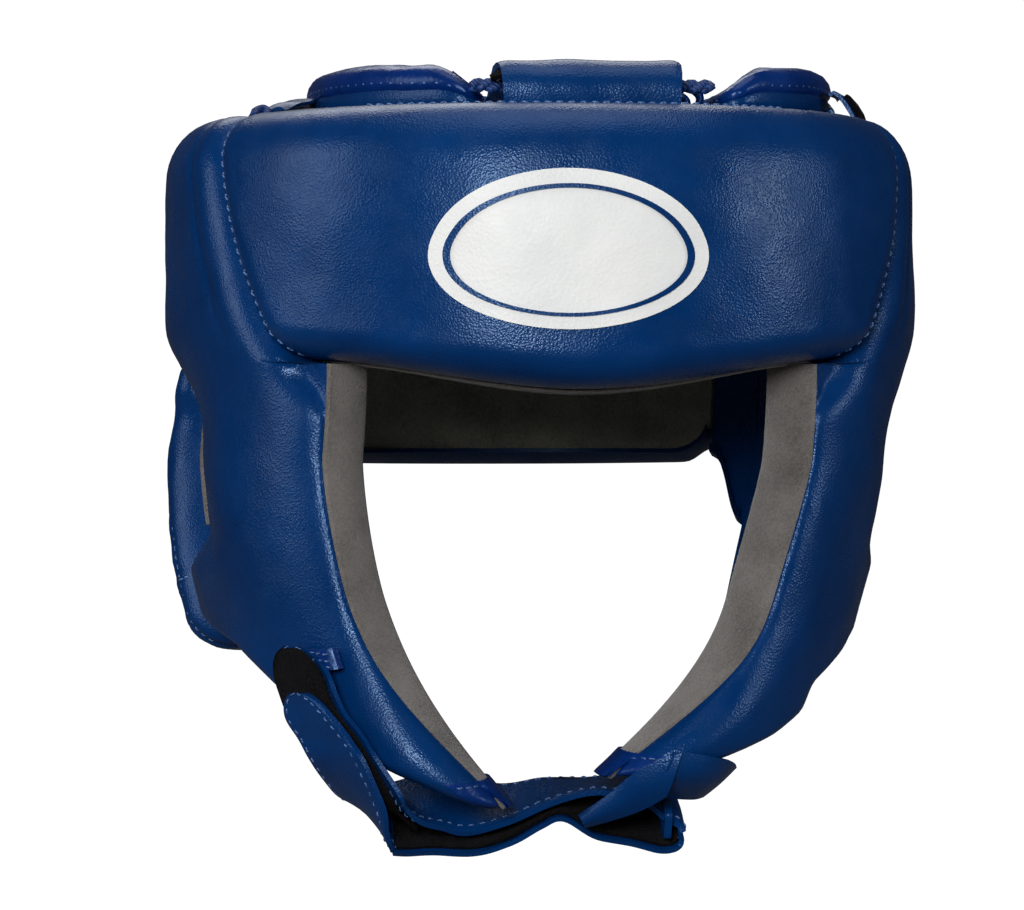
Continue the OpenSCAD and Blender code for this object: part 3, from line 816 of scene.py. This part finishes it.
def crown_pad(side, word):
    body = "crown_pad_" + word
    outline = crown_outline(side, 0)
    centre = sum(outline, Vector()) / len(outline)
    shoulder, height = 8.7, CROWN_TOP - CROWN_Z - 0.8

    def shrink(k, z):
        return [crown_point(centre + (p - centre) * k, z) for p in outline]
    loops = [shrink(k, 0.3) for k in (0.04, 0.4, 0.8, 0.99)] + [shrink(1.0, z) for z in (0.8, 3, 6, 8.2)]
    for k in (0.99, 0.97, 0.94, 0.9, 0.84, 0.76, 0.66, 0.54, 0.4, 0.26, 0.14, 0.04):
        z = shoulder + (height - shoulder) * rise(1 - k, 0.4)
        loops.append([p + Vector((0, 0, wobble(p, 16, 0.8, 3))) for p in shrink(k, z)])
    bm = bmesh.new()
    add_grid(bm, [loop + [loop[0]] for loop in loops])
    bmesh.ops.remove_doubles(bm, verts=bm.verts, dist=0.001)
    bmesh.ops.holes_fill(bm, edges=[e for e in bm.edges if e.is_boundary], sides=0)
    finish_piece("crown_pad_" + word, bm, BLUE, body,
                 ("crown_cover_" + word, "crown_foam_" + word, "crown_lining_" + word), 50)
    wall = [(0.3, 0.2), (1.2, 1.5), (1.7, 3), (1.5, 4.8), (1.0, 6.6)]
    ring_sheet("crown_wall_" + word, side, wall, 0.8, BLUE, body, ("crown_wall_" + word,), 0.35)
    binding = [(1.5, 5.8), (2.2, 6.5), (2.4, 7.8), (2.0, 9.3), (0.9, 10.7), (-1.0, 11.6), (-3.4, 12.2),
               (-6.0, 12.5)]
    ring_sheet("crown_binding_" + word, side, binding, 0.7, SHINY, body, ("crown_binding_" + word,), 0.4)
    run = [crown_point(p, 7.4) for p in crown_outline(side, 2.55)]
    n = len(run)

    def normal_at(q):
        i = min(range(n), key=lambda k: (run[k] - q).length_squared)
        d = (run[(i + 1) % n] - run[i - 1]).normalized()
        return Vector((d.y * side, -d.x * side, 0)).normalized()
    stitch_piece("crown_stitches_" + word, [(run, normal_at)], body, pitch=4.2, long=2.6, wide=0.34)
    # soft collar from the pad's wall out to the rim, along the line the pad folds on
    rows = []
    first = 64
    for a in steps(40, first, 130):
        rim = place(LEFT, a, RIM_Z, 7.5)
        rim = Vector((side * rim.x, rim.y, RIM_Z + 3.2))
        foot = place(LEFT, a, RIM_Z, -4.4)
        inner = crown_point(Vector((side * foot.x + CROWN_X, foot.y, 0)), 5.4)
        inner = rim.lerp(inner, mix(0.2, 1, smooth((a - first) / 18)))
        rows.append([])
        for t in steps(10):
            puff = 1.6 * math.sin(math.pi * t) + wobble(inner, 9, 0.8, t * 2)
            rows[-1].append(inner.lerp(rim, t) + Vector((0, 0, puff)))
    collar = sheet("crown_collar_" + word, rows, 0.9, BLUE, None, flip=side == LEFT)
    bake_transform(collar)


LOOP_Y = steps(4, -46, 58)
LACE_Z = CROWN_Z + 5


def crown_loops(side, word):
    """Webbing loops sewn to the inner edge; the lace runs through them."""
    bm = bmesh.new()
    centre_x = side * (CROWN_INNER - 3.2) + LACE_X + 1
    for y in LOOP_Y:
        for w in (-2.4, -0.8, 0.8, 2.4):
            ring = [Vector((centre_x + 4.6 * cos(a), y + w, LACE_Z + 3.0 * sin(a)))
                    for a in steps(20, 0, 342)]
            tube(bm, ring, 0.85, 6, closed=True)
    finish_piece("crown_loops_" + word, bm, SHINY, "crown_pad_" + word, ("crown_loops_" + word,), 180)


def lace_half(bm, side):
    """One side's half of every crossing, from the middle to its loops."""
    reach, radius, sag = CROWN_INNER - 3.6, 1.35, 0.6
    for first, second in zip(LOOP_Y, LOOP_Y[1:]):
        for near, far, lift in ((first, second, -1.2), (second, first, 1.2)):
            mid_y = (near + far) / 2
            tube(bm, [Vector((LACE_X + side * reach * t, mix(mid_y, near, t),
                              LACE_Z + lift * (1 - t) - sag * math.sin(math.pi * t)))
                      for t in steps(12)], radius)
    for y in LOOP_Y:
        tube(bm, [Vector((LACE_X + side * reach, y + d, LACE_Z)) for d in steps(6, -4.5, 4.5)], radius)


def crown_middle():
    for side, word in ((LEFT, "left"), (RIGHT, "right")):
        crown_pad(side, word)
        crown_loops(side, word)
        bm = bmesh.new()
        lace_half(bm, side)
        piece = finish_piece("crown_lace_" + word, bm, CORD, None, ("crown_lace",), 180)
        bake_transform(piece)
    # first row: passes through the lace cover and shows on both sides of it
    bm = bmesh.new()
    for lift in (-0.9, 0.9):
        tube(bm, [Vector((x, -86.5 + 0.8 * math.sin(x * 0.9 + lift),
                          LACE_Z + 1 + 0.9 * math.cos(x * 0.9 + lift * 2)))
                  for x in steps(60, LACE_X - 32, LACE_X + 35)], 1.3)
    finish_piece("front_lace", bm, CORD, ROOT, sharp=180)
    rows = [[Vector((LACE_X + x, y, CROWN_Z - 0.4 - 1.8 * (x / 28) ** 2 + wobble((x, y, 0), 14, 0.5)
                     + 3 * smooth((y + 60) / 30) * smooth((60 - y) / 30) * smooth((30 - abs(x)) / 14)))
             for x in steps(22, -34, 40)] for y in steps(50, -92, 78)]
    sheet("crown_tongue", rows, 1.1, BLUE, ROOT, ("crown_tongue",))
    rows = [[Vector((LACE_X + x, y, CROWN_Z + 0.2)) for x in steps(16, -17, 17)]
            for y in steps(8, -66, -54)]
    sheet("crown_tongue_loop_patch", rows, 0.8, PILE, ROOT, ("crown_tongue_loop_patch",))
    rows = [[Vector((LACE_X + x, y, CROWN_Z + 0.8 + 1.2 * math.cos(x / 16 * 1.3)))
             for x in steps(16, -16, 16)] for y in steps(16, 66, 92)]
    sheet("crown_tab_rear", rows, 1.8, BLUE, ROOT, ("crown_tab_rear",))


def lace_cover():
    """Folded leather sleeve over the lace knot, sewn along the rim."""
    profile = [(-98.4, 0.6), (-99.0, 3), (-98.8, 6), (-97.4, 8.8), (-94.6, 10.6), (-90, 11.4), (-84, 11.6),
               (-77, 10.9), (-71, 9.0), (-66, 6.4), (-62, 4.2), (-58, 3.0), (-55.5, 2.6)]
    half, rows = 24.5, []
    for x in steps(40, -half, half):
        edge = 1 - rise(half - abs(x), 3)
        rows.append([Vector((LACE_X + x, y + wobble((x, y, z), 10, 0.5), CROWN_Z + z - edge * 0.6
                             + wobble((x, y, z), 12, 0.7, 5) * smooth(z / 6))) for y, z in profile])
    sheet("lace_cover", rows, 1.5, BLUE, "lace_flap", ("lace_cover",))
    runs = []
    for x in (-21.6, 19.2):
        points = [Vector((LACE_X + x, y - 0.35, CROWN_Z + z + 0.35)) for y, z in profile]
        runs.append((points, lambda p: Vector((0, p.y + 84, (p.z - CROWN_Z) * 2.2 + 1)).normalized()))
    runs.append(([Vector((LACE_X + x, -99.4, CROWN_Z + 1.6)) for x in steps(20, -23, 23)],
                 lambda p: Vector((0, -1, 0.1))))
    stitch_piece("lace_cover_stitches", runs, "lace_flap", pitch=3.0, long=2.2)
    rows = [[Vector((LACE_X + x, y, CROWN_Z + z)) for y, z in ((-64, 4.2), (-61, 2.9), (-57, 1.8))]
            for x in steps(20, -15, 15)]
    sheet("lace_cover_hook", rows, 0.7, PILE, "lace_flap", ("lace_cover_hook",), flip=True)
    rows = [[Vector((LACE_X - half - x, y, CROWN_Z + 9.2 - 0.3 * x + 0.6 * math.sin(y)))
             for y in steps(8, -96, -86)] for x in steps(5, -2.5, 2.5)]
    sheet("lace_cover_hook_end", rows, 1.0, PILE, "lace_flap")


def rim_details():
    """Cord knot on the right rim and the hook tab on the left one."""
    bm = bmesh.new()
    base = place(RIGHT, 62, RIM_Z, 11) + Vector((0, 0, 1.6))
    points = []
    for i in range(40):
        t = i / 39 * 4 * math.pi
        points.append(base + Vector((1.9 * math.cos(t), 1.6 * math.sin(1.5 * t),
                                     1.7 * math.sin(t) * math.cos(0.5 * t))))
    tube(bm, points, 1.2)
    tube(bm, [base + Vector((-1 - 3 * t, -1.5 * t, 1 - 3.5 * t * t)) for t in steps(10, 0, 1.6)], 0.3, 6)
    finish_piece("rim_cord_knot", bm, CORD, ROOT, ("rim_cord_knot",), 180)

    def over_rim(section, angles):
        return [[place(LEFT, a, RIM_Z, d) + Vector((0, 0, lift)) for d, lift in section] for a in angles]
    tab = over_rim(((8, 8.5), (9.5, 9), (11.5, 7.4), (13.5, 4.4), (15.3, 1.2), (16.4, -1.6)),
                   steps(14, 58, 74))
    sheet("crown_tab_left", tab, 1.1, BLUE, ROOT, ("crown_tab_left",))
    hook = over_rim(((12.8, 7.4), (14.8, 4.8), (16.6, 1.6), (17.6, -1.6)), steps(10, 60, 71))
    sheet("crown_tab_left_hook", hook, 1.2, PILE, ROOT)


# ---- Chin strap ----
STRAP_WIDTH = 25.0
STRAP_DEPTH = CHEEK_PAD + 1.2


def on_cheek(z, depth, turn=0.0):
    angle = mix(46, 43, smooth((-62 - z) / 16)) + turn
    across = (place(RIGHT, angle + 5, z, depth - 1.5)
              - place(RIGHT, angle - 5, z, depth + 1.5)).normalized()
    return place(RIGHT, angle, z, depth), across


def free_key(p, least=0):
    """A strap point under the chin; the strap is tilted so that its back edge is the higher one."""
    x = p[0]
    tilt = 4 + 11 * smooth((2 - x) / 14) + 24 * smooth((-12 - x) / 22) + 20 * smooth((x - 12) / 14)
    tilt = max(tilt, least)
    return Vector(p), Vector((0, cos(tilt), sin(tilt)))


def curve_through(keys, per):
    """Smooth path through (point, across) keys."""
    out = []
    n = len(keys)
    for i in range(n - 1):
        p = [keys[clamp(i + k, 0, n - 1)] for k in (-1, 0, 1, 2)]
        for j in range(per):
            t = j / per
            w = (-0.5 * t + t * t - 0.5 * t ** 3, 1 - 2.5 * t * t + 1.5 * t ** 3,
                 0.5 * t + 2 * t * t - 1.5 * t ** 3, -0.5 * t * t + 0.5 * t ** 3)
            out.append((sum((q[0] * k for q, k in zip(p, w)), Vector()),
                        sum((q[1] * k for q, k in zip(p, w)), Vector()).normalized()))
    out.append(keys[-1])
    return out


def strap(name, keys, thick, material, body, nodes=(), width=STRAP_WIDTH, round_start=0, round_end=0,
          offset=0.0, stitches=True):
    """Flat strap through its keys, with rounded ends and a row of stitches along both edges."""
    path = curve_through(keys, 8)
    length = [0.0]
    for (a, _), (b, _) in zip(path, path[1:]):
        length.append(length[-1] + (b - a).length)

    def half_width(i):
        half = width / 2
        if round_start:
            half *= max(0.3, rise(length[i] + 0.5, round_start))
        if round_end:
            half *= max(0.3, rise(length[-1] - length[i] + 0.5, round_end))
        return half
    rows, normals = [], []
    for i, (p, across) in enumerate(path):
        d = (path[min(i + 1, len(path) - 1)][0] - path[max(i - 1, 0)][0]).normalized()
        up = d.cross(across).normalized()
        row = []
        for u in ends_fine(12, -1, 1):
            puff = 0.35 * rise(1 - abs(u), 0.2) + wobble(p + across * u * 14, 9, 0.25)
            row.append(p + across * half_width(i) * u + up * (offset + puff))
        rows.append(row)
        normals.append(up)
    back = [[q - up * thick for q in row] for row, up in zip(rows, normals)]
    bm = bmesh.new()
    add_solid(bm, rows, back, wall_steps=2)
    pieces = [finish_piece(name, bm, material, body, nodes, 50)]
    if stitches:
        runs = []
        for edge in (1, -1):
            for face, sign in ((0.2, 1), (-thick - 0.05, -1)):
                points = [p + across * (half_width(i) - 2.2) * edge + up * (offset + face)
                          for i, ((p, across), up) in enumerate(zip(path, normals))]
                table = list(zip(points, normals))
                runs.append((points, lambda q, table=table, sign=sign:
                             min(table, key=lambda e: (e[0] - q).length_squared)[1] * sign))
        pieces.append(stitch_piece(name + "_stitches", runs, body, pitch=3.2, long=2.1, wide=0.24))
    return pieces


def chin_strap():
    """Sewn run from the right cheek to the keeper, the returned run below it, and its peeling tip."""
    anchor = [on_cheek(z, STRAP_DEPTH + 0.9) for z in (-48, -54, -60, -66, -72, -78)]
    turn = anchor[-1][1]
    free = [free_key(p) for p in (
        (-56.5, -95, -90.8), (-53, -91, -93.6), (-47, -87, -94.9), (-39, -83.5, -94.8),
        (-30, -81, -95.7), (-18, -80, -95.5), (-6, -80, -92.2), (6, -80, -90.8), (18, -80, -91.4),
        (25.5, -80, -94.4), (29, -80, -96), (30.3, -80, -98))]
    free = [(p, turn.lerp(a, smooth((i + 1) / 6)).normalized()) for i, (p, a) in enumerate(free)]
    strap("chin_strap", anchor + free, 1.5, BLUE, ROOT, ("chin_strap",), round_start=12, offset=0.6)
    pile = [on_cheek(z, STRAP_DEPTH + 2.6) for z in (-48.5, -54, -60, -66, -72, -78)]
    moves = ((-1.2, -0.6, -1.4), (-1.0, -0.4, -1.6), (-0.7, 0, -1.9))
    pile += [(p + Vector(move), a) for (p, a), move in zip(free, moves)]
    strap("chin_strap_pile", pile, 0.9, PILE, ROOT, ("chin_strap_pile",), width=STRAP_WIDTH - 2,
          round_start=11, stitches=False)
    # folded, sewn end of the strap at its front corner
    fold = ((38.2, 0.6), (38.4, 2.6), (39.2, 3.6), (40.4, 3.9), (41.6, 3.7), (42.4, 3.2))
    rows = [[place(RIGHT, a, z, CHEEK_PAD + lift) for a, lift in fold] for z in steps(8, -54.5, -49)]
    sheet("chin_strap_anchor", rows, 0.9, SHINY, ROOT, ("chin_strap_anchor",), flip=True)
    runs = [form_run(RIGHT, [(a, z + 0.25 * (a - 40)) for a in steps(6, 39, 42)],
                     lambda a, z: CHEEK_PAD + 3.9) for z in (-50.2, -52, -53.6)]
    stitch_piece("chin_strap_anchor_stitches", runs, ROOT, pitch=2.2, long=1.5, wide=0.28)
    back_run = [free_key(p, 20 + 14 * smooth((p[0] + 4) / 8)) for p in (
        (30.4, -80, -98.6), (29.8, -80, -100.4), (27.4, -80, -101.8), (23, -80, -102), (16, -80, -100),
        (6, -80, -98), (-3, -80, -95.6), (-9, -80, -97.6), (-18, -80, -102.4), (-28, -80, -102.2),
        (-38, -81, -101), (-46, -83.5, -101), (-50.5, -86.5, -100.6))]
    pieces = strap("chin_strap_return", back_run, 1.5, BLUE, None, ("chin_strap_return",))
    pieces += strap("chin_strap_return_hook", back_run[1:], 0.8, PILE, None, width=STRAP_WIDTH - 2.5,
                    offset=-1.75, stitches=False)
    for piece in pieces:
        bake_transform(piece)
    tip = [free_key((-51, -86.9, -100.4))]
    flat = tip[0][1]
    tip += [(Vector((-56, -91, -98.4)), flat.lerp(turn, 0.4).normalized()),
            (Vector((-60, -95.5, -93.6)), flat.lerp(turn, 0.75).normalized())]
    lap = [on_cheek(z, STRAP_DEPTH + 5.8, 0.0) for z in (-78, -72, -66, -60)]
    tip += [(p, (a + Vector((-0.12, 0.3, 0))).normalized()) for p, a in lap]
    strap("chin_strap_tip", tip, 1.5, BLUE, "strap_tip", ("chin_strap_tip",), width=STRAP_WIDTH - 2,
          round_end=11)
    inward = Vector((0.96, 1.28, 0))
    strap("chin_strap_tip_hook", [(p + inward, a) for p, a in tip[3:6]], 0.9, PILE, "strap_tip",
          ("chin_strap_tip_hook",), width=STRAP_WIDTH - 5, round_end=10, stitches=False)


def panel(name, top, bottom, bulge, thick, flip=False):
    """Soft leather panel between two rails of points; returns its rows, for the stitches."""
    rails = [curve_through([(Vector(p), Vector((0, 0, 1))) for p in rail], 6) for rail in (top, bottom)]
    rows = [[p.lerp(q, t) + Vector(bulge) * math.sin(math.pi * t) for (p, _), (q, _) in zip(*rails)]
            for t in steps(8)]
    sheet(name, rows, thick, BLUE, ROOT, flip=flip)
    return rows


def keeper():
    """Slotted tab on the left cheek that the strap turns round."""
    bm = bmesh.new()
    x, middle, tilt = 25.6, -94.9, 24
    half_y, low, high = 15.6, -99.8, -90.4
    slot_y, slot_low, slot_high = 13.8, -97.2, -92.2

    def turned(dx, y, z):
        return Vector((x + dx, -80 + y * cos(tilt) - (z - middle) * sin(tilt),
                       middle + y * sin(tilt) + (z - middle) * cos(tilt)))
    outer, inner = [], []
    for a in steps(72, 0, 360):
        c, n = cos(a), sin(a)
        k = (abs(c) ** 8 + abs(n) ** 8) ** (-1 / 8)
        outer.append((c * k * half_y, mix(low, high, 0.5 + 0.5 * n * k)))
        inner.append((c * k * slot_y, mix(slot_low, slot_high, 0.5 + 0.5 * n * k)))
    add_grid(bm, [[turned(dx, y, z) for y, z in ring] for ring, dx in
                  ((outer, -1.0), (outer, 1.0), (inner, 1.0), (inner, -1.0), (outer, -1.0))])
    finish_piece("chin_strap_keeper", bm, BLUE, ROOT, ("chin_strap_keeper",))

    top = [(24.5, -110.8, -79.4), (35, -106.5, -81), (42, -97.5, -82.8), (44.5, -88, -84.8)]
    bottom = [(20, -99.6, -91), (26, -98, -92), (32, -95, -92.6), (35.5, -88, -92.6)]
    rows = panel("chin_strap_keeper_tab", top, bottom, (-0.6, -4.5, 0), 1.4)
    runs = [([p + Vector((0.1, -0.3, 0)) for p in rows[k]], lambda q: Vector((0.35, -0.93, 0)))
            for k in (1, -2)]
    # sewn end of the strap that folds back from the keeper
    top = [(27.2, -111.6, -79.7), (16.1, -108.5, -84.3), (9.1, -103, -91.3), (0.9, -98, -98.2)]
    bottom = [(23.2, -107, -91.3), (16.8, -103.5, -95.2), (8.7, -100, -98.2), (1.8, -97.6, -100)]
    rows = panel("chin_strap_end", top, bottom, (0, -1.5, 0), 1.2, flip=True)
    runs += [([p + Vector((0, -0.35, 0)) for p in rows[k]], lambda q: Vector((0, -1, 0.1)))
             for k in (1, -2)]
    stitch_piece("chin_strap_keeper_stitches", runs, ROOT, pitch=3.0, long=2.2, wide=0.34)


# ---- Stitch rows on the shell ----
def shell_stitches():
    def on_pad(a, z):
        return forehead_depth(a, z) + 0.1
    runs = [form_run(LEFT, [(end * (seam_angle(z) - 2.2), z) for z in steps(40, CORNER_Z + 1, RIM_Z - 3)],
                     on_pad) for end in (LEFT, RIGHT)]
    stitch_piece("seam_stitches", runs, ROOT, pitch=3.4, long=2.3, wide=0.3)
    top = form_run(LEFT, [(a, RIM_Z - 0.7) for a in steps(60, -31, 31)], on_pad)
    stitch_piece("rim_stitches", [top], ROOT, pitch=3.2, long=2.2, wide=0.34)


# ---- Studio ----
FLOOR_DROP = 0.13    # m below the part, room for the strap that hangs down in the poses


def look_at_origin(thing, azimuth, elevation, distance):
    """Puts a light or camera into the scene at its place round the origin, turned to face it."""
    away = Vector((sin(azimuth) * cos(elevation), -cos(azimuth) * cos(elevation), sin(elevation)))
    thing.location = away * distance
    thing.rotation_euler = (-away).to_track_quat("-Z", "Y").to_euler()
    bpy.context.scene.collection.objects.link(thing)


def area_light(name, azimuth, elevation, distance, size, power):
    data = bpy.data.lights.new(name, "AREA")
    data.shape = "SQUARE"
    data.size = size
    data.energy = power
    look_at_origin(bpy.data.objects.new(name, data), azimuth, elevation, distance)


def for_camera(node, name, seen, other):
    """Gives a shader input one value where the camera looks and another for every other ray."""
    nodes = node.id_data.nodes
    path = nodes.new("ShaderNodeLightPath")
    pick = feed(nodes.new("ShaderNodeMapRange"), Value=path.outputs["Is Camera Ray"], To_Min=other,
                To_Max=seen)
    feed(node, **{name: pick.outputs[0]})


def studio():
    """White cove, faint surroundings for reflections and five soft boxes."""
    scene = bpy.context.scene
    world = bpy.data.worlds.new("studio")
    scene.world = world
    world.use_nodes = True
    background = world.node_tree.nodes["Background"]
    background.inputs[0].default_value = (1, 1, 1, 1)
    for_camera(background, "Strength", 1.0, 0.05)
    cove = [(-2500, 0), (0, 0), (1500, 0), (2200, 60), (2700, 350), (2950, 900), (3000, 1700), (3000, 4000)]
    bm = bmesh.new()
    add_grid(bm, [[Vector((x, y, z)) for x in steps(8, -6000, 6000)] for y, z in cove])
    for v in bm.verts:
        v.co = v.co * MM + Vector((0, 0, CAD_BOX[0][2] - FLOOR_DROP))
    mesh = bpy.data.meshes.new("floor")
    bm.to_mesh(mesh)
    bm.free()
    for p in mesh.polygons:
        p.use_smooth = True
    floor = bpy.data.objects.new("floor", mesh)
    scene.collection.objects.link(floor)
    pale, _, shader, _ = new_material("floor_pale")
    feed(shader, Base_Color=(0.12, 0.12, 0.12, 1), Roughness=0.9, Specular_IOR_Level=0.0,
         Emission_Color=(1, 1, 1, 1))
    for_camera(shader, "Emission Strength", 1.0, 0.0)
    mesh.materials.append(pale)
    for light in (("key", -15, 12, 2.2, 0.6, 38), ("right", 64, 10, 2.0, 0.5, 9),
                  ("left", -82, 16, 2.0, 1.0, 12), ("top", 0, 84, 1.7, 1.2, 9),
                  ("back", 180, 45, 2.2, 1.2, 12)):
        area_light(*light)
    scene.view_settings.view_transform = "Standard"


def camera():
    data = bpy.data.cameras.new("camera")
    data.sensor_width = 36
    data.lens = 180.3
    data.shift_x = -25 / 1024
    data.clip_end = 50
    cam = bpy.data.objects.new("camera", data)
    look_at_origin(cam, azimuth=-6.5, elevation=0.6, distance=1.5)
    bpy.context.scene.camera = cam


forehead_pad()
forehead_lining()
badge()
for side, word in ((LEFT, "left"), (RIGHT, "right")):
    side_panel(side, word)
    side_lining(side, word)
    cheek_tip(side, word)
    ear_guard(side, word)
    rear_wing(side, word)
rear()
rear_strap()
crown_middle()
lace_cover()
rim_details()
chin_strap()
keeper()
shell_stitches()
studio()
camera()
